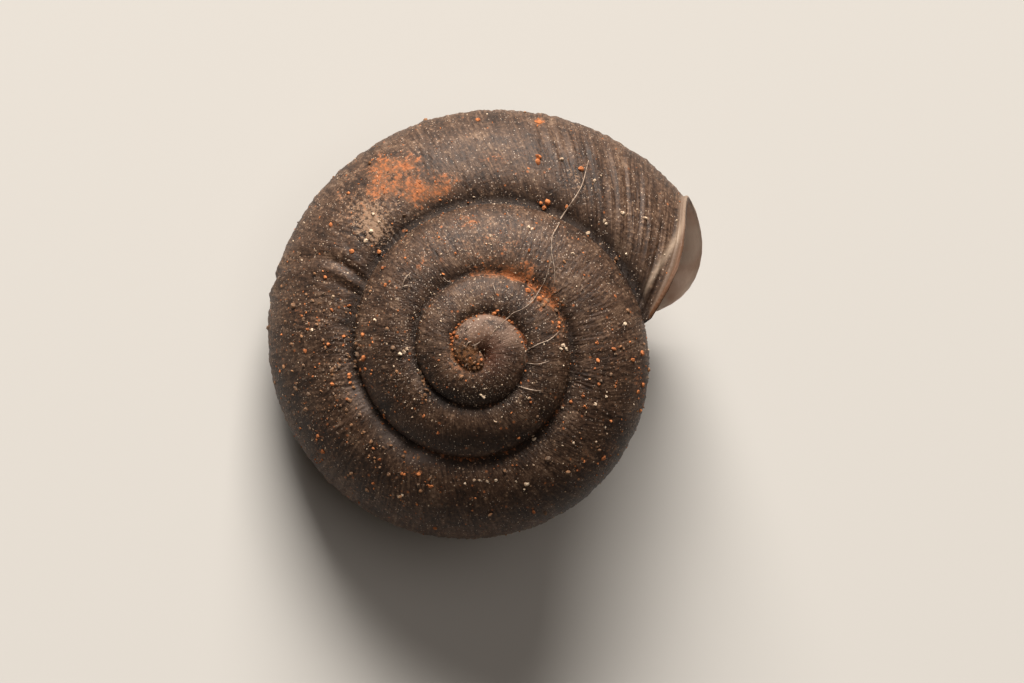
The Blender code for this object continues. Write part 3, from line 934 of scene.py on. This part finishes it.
# Cells per metre, size in its cell, amount, strength and colour of each kind of dot
DOTS = (
    (6500.0, 0.30, 0.30, 0.70, TAN_DUST),
    (3600.0, 0.30, 0.16, 0.45, TAN_DUST),
    (4500.0, 0.26, 0.20, 0.80, RUST),
)
for scale, size, amount, strength, tint in DOTS:
    layers.append((t.times(specks(scale, size, t.times(busy, amount)), outer, strength), tint))
pale_cover = t.math("MULTIPLY_ADD", t.swing(fine), 2.4, pale_map)
pale_cover = t.times(t.step(pale_cover, 0.45, 0.8), t.step(pale_map, 0.1, 0.3))
broken = t.add(t.times(mottle, 0.5), t.times(fine, 0.5), -0.5)
rust_cover = t.math("MULTIPLY_ADD", broken, 4.5, rust_map)
rust_cover = t.times(t.step(rust_cover, 0.42, 0.88), t.step(rust_map, 0.08, 0.3))
stain_cover = t.times(t.step(rust_map, 0.22, 0.75), t.step(mottle, 0.36, 0.52), 0.75)
rust_tone = blend(t, t.step(fine, 0.42, 0.60), RUST_DEEP, RUST)
pit_tone = blend(t, t.step(fine, 0.40, 0.58), PIT_DARK, PIT_BROWN)
pit_tone = blend(t, t.step(t.add(t.times(fine, 0.6), t.times(mottle, 0.4)), 0.55, 0.64), pit_tone, RUST)
layers += [
    (t.times(pale_cover, 0.7), TAN_DUST),
    (stain_cover, RUST_STAIN),
    (t.times(rust_cover, 0.85), rust_tone),
    (t.math("MINIMUM", attribute(t, "pit"), 0.95), pit_tone),
]
print("Layers with the dust and soil:", len(layers))

# %% Lip and inside
BAND_WIDTH, GREY_EDGE = 0.17 * MILLIMETRE, 0.2 * MILLIMETRE
CLOUDS_PER_METRE = 700.0

rim = attribute(t, "rim")
before_rim = t.math("LESS_THAN", kind, 0.5)
band = t.times(t.bell(rim, crest_line(t, share), BAND_WIDTH), t.step(share, 0.46, 0.34))
band = t.times(band, t.step(share, 0.0, CREST_FADE_SHARE))
cloud = t.noise(space, CLOUDS_PER_METRE, 3.0, 0.6)
inside_tone = blend(t, t.step(cloud, 0.42, 0.66), INSIDE_MAUVE, INSIDE_PALE)
layers += [
    (t.times(t.step(rim, GREY_EDGE, 0.0), before_rim, 0.8), LIP_GREY),
    (t.times(band, before_rim, 0.85), LIP_PALE),
    (t.times(t.step(kind, 0.26, 0.40), t.step(share, 0.22, 0.08)), LIP_HORN),
    (t.times(t.step(kind, 0.10, 0.30), t.step(share, 0.30, 0.45), 0.7), INSIDE_MAUVE),
    (t.times(t.step(kind, 0.55, 0.8), t.step(share, 0.18, 0.34)), inside_tone),
    (t.step(kind, 0.7, 0.95), inside_tone),
    # Painted light: the lip's mauve lobe is made pale where it lies in shade
    (t.math("MINIMUM", attribute(t, "lobe"), 0.9), LOBE_MAUVE_PAINTED_LIGHT),
]
print("Layers with the lip and the inside:", len(layers))

# %% The layers together
BUMP_DEPTH = 0.05 * MILLIMETRE

colour = SKIN_DARK
for cover, tint in layers:
    colour = blend(t, cover, colour, tint)
t.plug(t.shader.inputs["Base Color"], colour)
roughness = t.add(0.44, t.times(mottle, 0.2), t.times(rust_map, 0.25))
t.plug(t.shader.inputs["Roughness"], t.math("MINIMUM", roughness, 0.9))
t.shader.inputs["Specular IOR Level"].default_value = 0.26
relief = t.add(t.times(streak, 0.5), t.times(fine, 0.8), t.times(mottle, 0.3))
bump = t.node("ShaderNodeBump", {"Height": relief, "Strength": 0.8, "Distance": BUMP_DEPTH})
t.plug(t.shader.inputs["Normal"], bump.outputs[0])
print("The shell's finish has", len(layers), "layers in", len(shell_finish.node_tree.nodes), "nodes")

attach(body, "root")
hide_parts("shell")

# %% [markdown]
# ## Scattered soil
# Grains of soil cling to the skin, thick in the patches and sparse elsewhere. They follow the
# surface, so a tree scatters points by the soil map, sets a rough little lump on each with its
# own size and turn, and makes the lumps real.

# %% Soil tree
CLUMPS_PER_METRE, CLUMP_EDGES = 2200.0, (0.36, 0.62)
ANY_TURN = ((0, 0, 0), (6.28, 6.28, 6.28))
FLATTEST, ROUNDEST = (0.25, 0.25, 0.25), (1.0, 1.0, 1.0)
SMALLEST_SCALE, SCALE_RANGE, LARGE_RARITY = 0.35, 1.3, 5.0


def random_vector(tree, low, high, seed):
    """A random vector between two corners, different for every point."""
    inputs = {0: low, 1: high, "Seed": seed}
    return tree.node("FunctionNodeRandomValue", inputs, data_type="FLOAT_VECTOR").outputs[0]


def soil_tree(name, map_name, base_map):
    """Scatter lumps over a surface by one of its soil maps, and a few by another."""
    tree = geometry_tree(name)
    density = size_input(tree, "Grains per square metre")
    spare = size_input(tree, "Stray share")
    grain = size_input(tree, "Grain size")
    seed = size_input(tree, "Seed", "NodeSocketInt")
    finish = size_input(tree, "Finish", "NodeSocketMaterial")
    cover = tree.add(kept_value(tree, map_name), tree.times(kept_value(tree, base_map), spare))
    clump = tree.noise(tree.node("GeometryNodeInputPosition").outputs[0], CLUMPS_PER_METRE, 3.0, 0.7)
    cover = tree.times(cover, tree.step(clump, *CLUMP_EDGES))
    points = tree.node("GeometryNodeDistributePointsOnFaces", {
        "Mesh": tree.entry.outputs[0], "Density": tree.times(cover, density), "Seed": seed,
    })
    lump = tree.node("GeometryNodeMeshIcoSphere", {"Radius": grain, "Subdivisions": 1})
    spin = random_vector(tree, *ANY_TURN, seed)
    squash = random_vector(tree, FLATTEST, ROUNDEST, tree.math("ADD", seed, 7))
    dice = {2: 0.0, 3: 1.0, "Seed": tree.math("ADD", seed, 3)}
    chance = tree.node("FunctionNodeRandomValue", dice, data_type="FLOAT")
    rarely_large = tree.math("POWER", chance.outputs[1], LARGE_RARITY)
    scale = tree.add(SMALLEST_SCALE, tree.times(rarely_large, SCALE_RANGE))
    lumps = tree.node("GeometryNodeInstanceOnPoints", {
        "Points": points.outputs[0], "Instance": lump.outputs[0], "Rotation": spin,
        "Scale": tree.scaled(squash, scale),
    })
    return close_tree(tree, lumps.outputs[0], finish)


# %% Soil finishes
def soil_finish(name, dark, light, scale=6000.0):
    material, tree = new_finish(name)
    space = tree.node("ShaderNodeTexCoord").outputs["Object"]
    patchy = tree.noise(space, scale, 2.0, 0.7)
    tree.plug(tree.shader.inputs["Base Color"], blend(tree, tree.step(patchy, 0.35, 0.65), dark, light))
    tree.shader.inputs["Roughness"].default_value = 0.85
    tree.shader.inputs["Specular IOR Level"].default_value = 0.3
    return material


rust_finish = soil_finish("soil_rust", (0.230, 0.068, 0.021), (0.510, 0.180, 0.062))
pale_finish = soil_finish("soil_pale", (0.340, 0.230, 0.150), (0.660, 0.520, 0.380))
tan_finish = soil_finish("soil_tan", (0.120, 0.080, 0.055), (0.270, 0.130, 0.060), 3500.0)
print("Soil finishes:", rust_finish.name, pale_finish.name, tan_finish.name)

# %% Scatter the soil
SQUARE_MILLIMETRE = MILLIMETRE ** 2
# Name, map, second map, grains per square millimetre, share of the second, size, seed, finish
SOILS = (
    ("rust_soil", "rust", "busy", 34.0, 0.11, 0.056, 4, rust_finish),
    # Pale grains scattered by the glint map stand in for glints: painted highlights made of grains
    ("pale_soil_and_glints", "pale", "glint", 36.0, 0.55, 0.035, 11, pale_finish),
    ("tan_soil", "coarse", "pit", 13.0, 2.0, 0.105, 23, tan_finish),
)
for name, map_name, base_map, density, stray, size, seed, finish in SOILS:
    piece = grown(soil_tree(name + "_tree", map_name, base_map), body, {
        "Grains per square metre": density / SQUARE_MILLIMETRE,
        "Stray share": stray,
        "Grain size": size * MILLIMETRE,
        "Seed": seed,
        "Finish": finish,
    }, name)
    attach(piece, "root")

# %% [markdown]
# ## Single grains, flakes and hairs
# The larger grains, some pale flakes and a long fine hair lie at places of their own. Each
# place is a spot of the view: a ray from the eye through the spot finds the skin behind it.
# The grains are lumps set on those points by a tree. The hairs are thin tubes along a smooth
# path that is lifted a little off the skin.

# %% Spots of the view on the skin
body_points = [vertex.co.copy() for vertex in body.data.vertices]
body_faces = [list(face.vertices) for face in body.data.polygons]
finder = BVHTree.FromPolygons(body_points, body_faces)
print("Rays are tried on", len(body_faces), "faces")


def on_skin(column, row):
    """The skin's point behind a spot of the view, and its outward direction."""
    step = SENSOR / LENS / IMAGE_SIZE[0]
    ray = Vector(((column - IMAGE_SIZE[0] / 2) * step, (IMAGE_SIZE[1] / 2 - row) * step, -1.0))
    place, facing, _, _ = finder.ray_cast(eye, (view_turn @ ray).normalized())
    return place, facing


# %% Single grains
# Each grain's place in the view, and its radius in pixels
RUST_GRAINS = (
    (538.6, 122, 6.0), (537.7, 157, 4.2), (537.9, 162, 4.4), (478, 120, 3.6), (581, 169, 3.6),
    (541, 203, 3.2), (547.5, 202, 3.4), (544, 208, 2.8), (567, 207, 2.8), (529, 250, 2.0), (615, 296, 1.9),
    (539.5, 299, 3.2), (528, 290, 3.4), (531, 286, 2.4), (559, 323, 2.4), (558.6, 327, 2.6),
    (598, 361, 3.0), (613.6, 349, 2.8), (633, 360, 3.0), (642, 353, 3.0), (597, 343, 2.2), (494, 314, 3.0),
    (497, 311, 2.2), (509, 321, 2.6), (512, 323, 2.2), (454, 333, 2.4), (457, 337, 2.4), (453, 341, 2.6),
    (466, 339.5, 1.5), (507, 287, 1.7), (497.5, 295, 1.6), (363, 358, 4.2), (305, 351, 3.0),
    (398, 311, 2.0), (363, 335, 3.0), (331, 225, 3.0), (351.6, 251.6, 3.6), (325, 277, 3.0),
    (379, 252, 3.0), (383, 268, 2.8), (385.5, 285, 2.2), (603.3, 458, 3.2), (584.4, 461.5, 2.0),
    (643, 385, 3.2), (640, 411, 3.4), (638, 392, 2.4), (611, 421, 2.4), (318, 436, 3.0), (323, 452, 2.6),
    (365, 369, 2.2), (332, 384, 2.4), (347, 399, 2.0), (435, 528, 2.6), (533.6, 512, 2.8),
    (466, 380.5, 1.6), (447.5, 387.5, 1.4), (583, 396, 2.4), (571, 402, 2.0), (599, 384, 2.2),
    (405, 452, 2.0), (374.6, 320.4, 2.0), (307.5, 329.3, 2.2), (343.8, 336.2, 2.4), (328.4, 344.6, 2.2),
    (343.5, 345, 1.8), (349.3, 374.7, 2.6), (350, 382.7, 2.0), (361, 370, 2.2), (372, 370.4, 1.3),
    (371, 374.4, 1.6), (331.6, 310.2, 2.4), (348.9, 305.4, 2.4), (322.5, 451.4, 3.2), (379.7, 459.5, 2.0),
    (373, 483.4, 2.4), (384, 414.4, 1.8), (384.3, 417, 1.8), (382.6, 423.5, 1.6), (423.7, 416.2, 2.0),
    (424.6, 378.4, 2.4), (409, 360.4, 1.5), (401.7, 473.4, 2.2), (428.9, 485.9, 2.2), (418.6, 474, 2.6),
    (531, 402.6, 1.8), (476.7, 317, 1.4), (462.3, 321.5, 1.5), (458.5, 324.5, 1.9), (456.5, 327.5, 1.9),
    (466, 319.5, 1.2), (471, 317.6, 1.3), (499, 316, 1.2), (451, 335, 2.2), (451.5, 338, 2.4),
    (450.5, 345, 1.5), (452, 350, 1.5), (455.5, 356, 1.4), (459, 360.5, 1.6), (481.5, 360, 1.7),
    (478, 364.5, 1.4), (463, 365, 1.5), (515, 329, 1.3), (517.5, 333, 1.5), (520, 337, 1.4),
    (522, 342, 1.5), (524, 346.5, 1.4), (525.5, 371, 1.6), (521, 383, 1.4), (431.3, 486.5, 2.4),
    (470.4, 460, 2.2), (512.5, 465.6, 1.6), (438, 433, 1.6), (518.9, 437.9, 1.8), (530, 398, 1.4),
    (615, 386, 1.8), (547, 425, 1.6), (578, 239.5, 1.6), (536.5, 223, 1.7), (505, 214, 1.6),
)
PALE_GRAINS = (
    (417.9, 370, 1.6), (604.6, 221, 2.6), (606, 224, 2.4), (588, 233, 2.8), (622.5, 213, 3.0),
    (626, 254, 2.2), (562, 159.6, 3.6), (645, 218, 2.6), (594, 181, 3.0), (573, 254, 2.6), (491, 236, 2.0),
    (375, 320, 2.4), (563, 345, 2.8), (566, 349, 3.0), (561, 349, 2.4), (625, 324, 3.4), (484, 397, 2.6),
    (481, 395, 1.8), (528, 227, 2.2), (532, 229, 2.0), (404, 352, 2.8), (400, 354, 2.6), (407, 349, 2.2),
    (399, 497, 3.0), (402, 495, 2.0), (526.7, 483.8, 3.2), (441, 321.5, 1.6), (438.5, 308.5, 1.5),
    (475, 279, 1.6), (529, 398, 1.8), (371, 231, 3.0), (379, 222, 2.6), (366, 241, 2.6), (373, 214, 2.4),
    (333, 297, 2.0), (312, 330, 2.2), (465, 483.4, 1.8), (473.9, 480.6, 1.7), (479.2, 480.6, 1.7),
    (487.2, 481.5, 1.9), (495.9, 480.6, 1.9), (516.3, 481.5, 1.8), (524.4, 489.5, 1.8), (533.4, 465, 1.8),
    (534, 438.7, 2.6), (533, 436, 2.0), (606.6, 396.5, 2.4), (595.2, 404, 2.2), (573.7, 443, 1.8),
    (596, 442, 1.8), (495.6, 422, 1.6), (432, 420.6, 1.5), (501.7, 417, 1.0), (412.2, 408.6, 1.3),
    (412.2, 416.8, 1.3), (562.2, 408, 2.2),
)
TAN_GRAINS = (
    (303.4, 319.3, 2.8), (316.3, 324.5, 2.6), (324, 310.5, 2.4), (312.2, 301, 2.8), (323, 340, 2.2),
    (347, 354.6, 2.6), (349, 357, 2.2), (332.8, 359, 2.0), (339.4, 366.3, 3.2), (323.2, 370, 2.0),
    (303.4, 365.6, 2.6), (296, 388.3, 4.0), (308.5, 394.2, 2.6), (305.6, 409.6, 3.4), (333.5, 393.4, 2.0),
    (335, 396, 2.4), (348.9, 394.9, 2.0), (340.8, 405.9, 2.2), (359.9, 415.1, 2.2), (351, 425, 2.6),
    (364.3, 432.6, 2.6), (371.2, 441.9, 3.2), (383, 447.7, 2.2), (389.2, 474.6, 3.0), (367, 490, 2.6),
    (400.5, 497, 3.6), (420.5, 373, 3.0), (423.5, 381.5, 2.6), (425, 395, 2.6), (426, 400, 2.0),
    (324, 293.7, 3.0), (332, 374, 2.2), (403.5, 456.5, 2.4), (424.4, 442, 2.0), (418.6, 485, 2.4),
    (474, 368.5, 2.6), (478.5, 367.5, 2.4), (481.5, 365, 2.0), (470, 369.5, 2.0), (476, 370.6, 1.6),
)
GRAIN_SINK = -0.15
GRAIN_LEAST, GRAIN_MOST = (0.6, 0.6, 0.5), (1.1, 1.0, 0.9)
GRAIN_DENTS_PER_METRE, GRAIN_DENT_DEPTH = 16000.0, 0.14 * MILLIMETRE


def grain_tree(name):
    """Set one rough lump on every point of a mesh, as large as the point says."""
    tree = geometry_tree(name)
    finish = size_input(tree, "Finish", "NodeSocketMaterial")
    seed = size_input(tree, "Seed", "NodeSocketInt")
    lump = tree.node("GeometryNodeMeshIcoSphere", {"Radius": 1.0, "Subdivisions": 2})
    turn = random_vector(tree, *ANY_TURN, seed)
    squash = random_vector(tree, GRAIN_LEAST, GRAIN_MOST, seed)
    lumps = tree.node("GeometryNodeInstanceOnPoints", {
        "Points": tree.entry.outputs[0], "Instance": lump.outputs[0], "Rotation": turn,
        "Scale": tree.scaled(squash, kept_value(tree, "grain")),
    })
    real = tree.node("GeometryNodeRealizeInstances", {0: lumps.outputs[0]})
    place = tree.node("GeometryNodeInputPosition").outputs[0]
    rough = tree.noise(place, GRAIN_DENTS_PER_METRE, 2.0, 0.7)
    facing = tree.node("GeometryNodeInputNormal").outputs[0]
    push = tree.scaled(facing, tree.times(tree.swing(rough), GRAIN_DENT_DEPTH))
    moved = tree.node("GeometryNodeSetPosition", {0: real.outputs[0], "Offset": push})
    return close_tree(tree, moved.outputs[0], finish)


def single_grains(name, spots, finish, seed):
    places, sizes = [], []
    for column, row, radius in spots:
        place, facing = on_skin(column, row)
        if place is None:
            continue
        size = radius * VIEW_SCALE
        places.append(place + facing * size * GRAIN_SINK)
        sizes.append(size)
    mesh = bpy.data.meshes.new(name + "_points")
    mesh.from_pydata(places, [], [])
    mesh.attributes.new("grain", "FLOAT", "POINT").data.foreach_set("value", sizes)
    holder = new_object(name + "_points", mesh)
    piece = grown(grain_tree(name + "_tree"), holder, {"Finish": finish, "Seed": seed}, name)
    bpy.data.objects.remove(holder)
    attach(piece, "root")


single_grains("rust_grains", RUST_GRAINS, rust_finish, 5)
single_grains("pale_grains", PALE_GRAINS, pale_finish, 8)
single_grains("tan_grains", TAN_GRAINS, tan_finish, 15)

# %% Hairs and fibres
# Each fibre's spots in the view, its thickness, and how far its middle is lifted, in pixels
FIBRES = (
    (((588, 161), (582, 184), (576.7, 194.2), (570.6, 202.7), (562, 218.5), (556, 228), (551.2, 239),
      (551.2, 253)), 1.15, 5.0),
    (((551.2, 252), (549.5, 265), (545, 280), (538, 292), (531.8, 302), (522, 309), (512.4, 313),
      (504, 321.5)), 0.6, 2.5),
    (((551.2, 252), (553, 262), (554, 272), (554.4, 284)), 0.6, 1.0),
    (((559, 331), (549, 339), (538.6, 344), (526, 351)), 0.8, 2.0),
    (((549, 361), (538, 364), (526, 363)), 0.6, 1.0),
    (((541, 391), (530, 389), (518, 386)), 0.9, 1.5),
    (((493, 285), (494.5, 290), (495.5, 294)), 0.8, 1.0),
    (((443.5, 277.5), (447, 280.5), (451, 282)), 0.7, 1.0),
    (((354, 349), (356, 343), (361, 340)), 0.8, 1.5),
    (((402.5, 287), (405, 281), (409, 275.5), (411, 279)), 1.3, 1.5),
    (((402, 288), (406.5, 286), (412, 285.5)), 1.1, 1.5),
    (((466, 348), (467.5, 343.5), (471, 341.5)), 0.9, 0.8),
    (((472, 345.5), (476, 344), (480.5, 341.5)), 0.7, 1.2),
    (((465, 330.5), (468, 328), (472, 326)), 0.6, 0.6),
    (((501, 324), (505, 320), (510, 316)), 0.6, 1.2),
    (((512, 332), (513.5, 329), (515, 327)), 0.6, 0.6),
    (((494, 331), (496, 328.5), (499, 326)), 0.6, 0.6),
)
FIBRE_SIDES, FIBRE_STEPS, FIBRE_THINNESS = 6, 10, 0.55
FIBRE_TIP, FIBRE_TAPER, FIBRE_TAPER_START, FIBRE_TAPER_RUN = 0.35, 0.65, 0.08, 0.84


def smooth_path(points):
    """A rounded path through the points: between two of them, a cubic that heeds the next ones."""
    ends = [points[0] * 2 - points[1], *points, points[-1] * 2 - points[-2]]
    path = []
    for a, b, c, d in zip(ends, ends[1:], ends[2:], ends[3:]):
        for step in range(FIBRE_STEPS):
            s = step / FIBRE_STEPS
            path.append(0.5 * (b * 2 + (c - a) * s + (a * 2 - b * 5 + c * 4 - d) * s ** 2
                               + (b * 3 - a - c * 3 + d) * s ** 3))
    return path + [points[-1]]


def fibre(mesh, spots, radius, lift):
    """Add one closed, tapering tube that follows the skin behind the spots of the view."""
    places = []
    for number, (column, row) in enumerate(spots):
        place, facing = on_skin(column, row)
        rise = lift * math.sin(math.pi * number / (len(spots) - 1)) + radius
        places.append(place + facing * rise * VIEW_SCALE)
    path = smooth_path(places)
    rings = []
    for number, place in enumerate(path):
        ahead = (path[min(number + 1, len(path) - 1)] - path[max(number - 1, 0)]).normalized()
        side = ahead.cross(axes[2]).normalized()
        over = side.cross(ahead)
        along = FIBRE_TAPER_START + FIBRE_TAPER_RUN * number / (len(path) - 1)
        taper = FIBRE_TIP + FIBRE_TAPER * math.sin(math.pi * along)
        size = radius * FIBRE_THINNESS * VIEW_SCALE * taper
        angles = [FULL_TURN * step / FIBRE_SIDES for step in range(FIBRE_SIDES)]
        around = [side * math.cos(angle) + over * math.sin(angle) for angle in angles]
        rings.append([mesh.verts.new(place + arm * size) for arm in around])
    for near, far in zip(rings, rings[1:]):
        for step in range(FIBRE_SIDES):
            after = (step + 1) % FIBRE_SIDES
            mesh.faces.new((near[step], near[after], far[after], far[step]))
    mesh.faces.new(rings[0])
    mesh.faces.new(rings[-1])


fibre_mesh = bmesh.new()
for spots, radius, lift in FIBRES:
    fibre(fibre_mesh, spots, radius, lift)
bmesh.ops.recalc_face_normals(fibre_mesh, faces=fibre_mesh.faces)
fibres_data = bpy.data.meshes.new("pale_fibres")
fibre_mesh.to_mesh(fibres_data)
fibre_mesh.free()
fibres_data.shade_smooth()
fibre_finish = soil_finish("fibre_pale", (0.210, 0.145, 0.105), (0.440, 0.340, 0.265))
fibres_data.materials.append(fibre_finish)
fibres = new_object("pale_fibres", fibres_data)
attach(fibres, "root")
print("Fibres:", len(FIBRES), "with", len(fibres_data.polygons), "faces")

# %% [markdown]
# ## Floor and light
# The shell lies on a plain pale floor. The light is soft and comes from the top of the view,
# as daylight does.

# %% Floor
FLOOR_SIZE = 0.6
floor_mesh = bpy.data.meshes.new("floor")
floor_signs = ((-1, -1), (1, -1), (1, 1), (-1, 1))
floor_corners = [(x * FLOOR_SIZE / 2, y * FLOOR_SIZE / 2, 0) for x, y in floor_signs]
floor_mesh.from_pydata(floor_corners, [], [(0, 1, 2, 3)])
floor = new_object("floor", floor_mesh)
floor_finish, floor_tree = new_finish("floor")
floor_tree.shader.inputs["Base Color"].default_value = (0.52, 0.505, 0.485, 1.0)
floor_tree.shader.inputs["Roughness"].default_value = 0.9
floor_mesh.materials.append(floor_finish)
print("The floor is", FLOOR_SIZE, "m wide")

# %% Light
def soft_light(name, direction, distance, size, power, colour):
    """A square soft light, placed along a direction of the view: right, up, towards the eye."""
    data = bpy.data.lights.new(name, "AREA")
    data.size = size
    data.energy = power
    data.color = colour
    light = new_object(name, data)
    towards = (axes[0] * direction[0] + axes[1] * direction[1] + axes[2] * direction[2]).normalized()
    light.location = towards * distance
    light.rotation_euler = towards.to_track_quat("Z", "Y").to_euler()


soft_light("sky_light", (0.03, 0.92, 0.40), 0.90, 0.54, 23.5, (1.0, 0.95, 0.88))
soft_light("top_light", (0.35, 0.2, 0.9), 0.90, 0.70, 1.4, (1.0, 0.94, 0.88))
world = bpy.data.worlds.new("studio")
bpy.context.scene.world = world
world.use_nodes = True
background = world.node_tree.nodes["Background"]
background.inputs["Color"].default_value = (1.0, 0.82, 0.66, 1.0)
background.inputs["Strength"].default_value = 0.065
print("Lights:", len(bpy.data.lights), "and a faint warm surround")
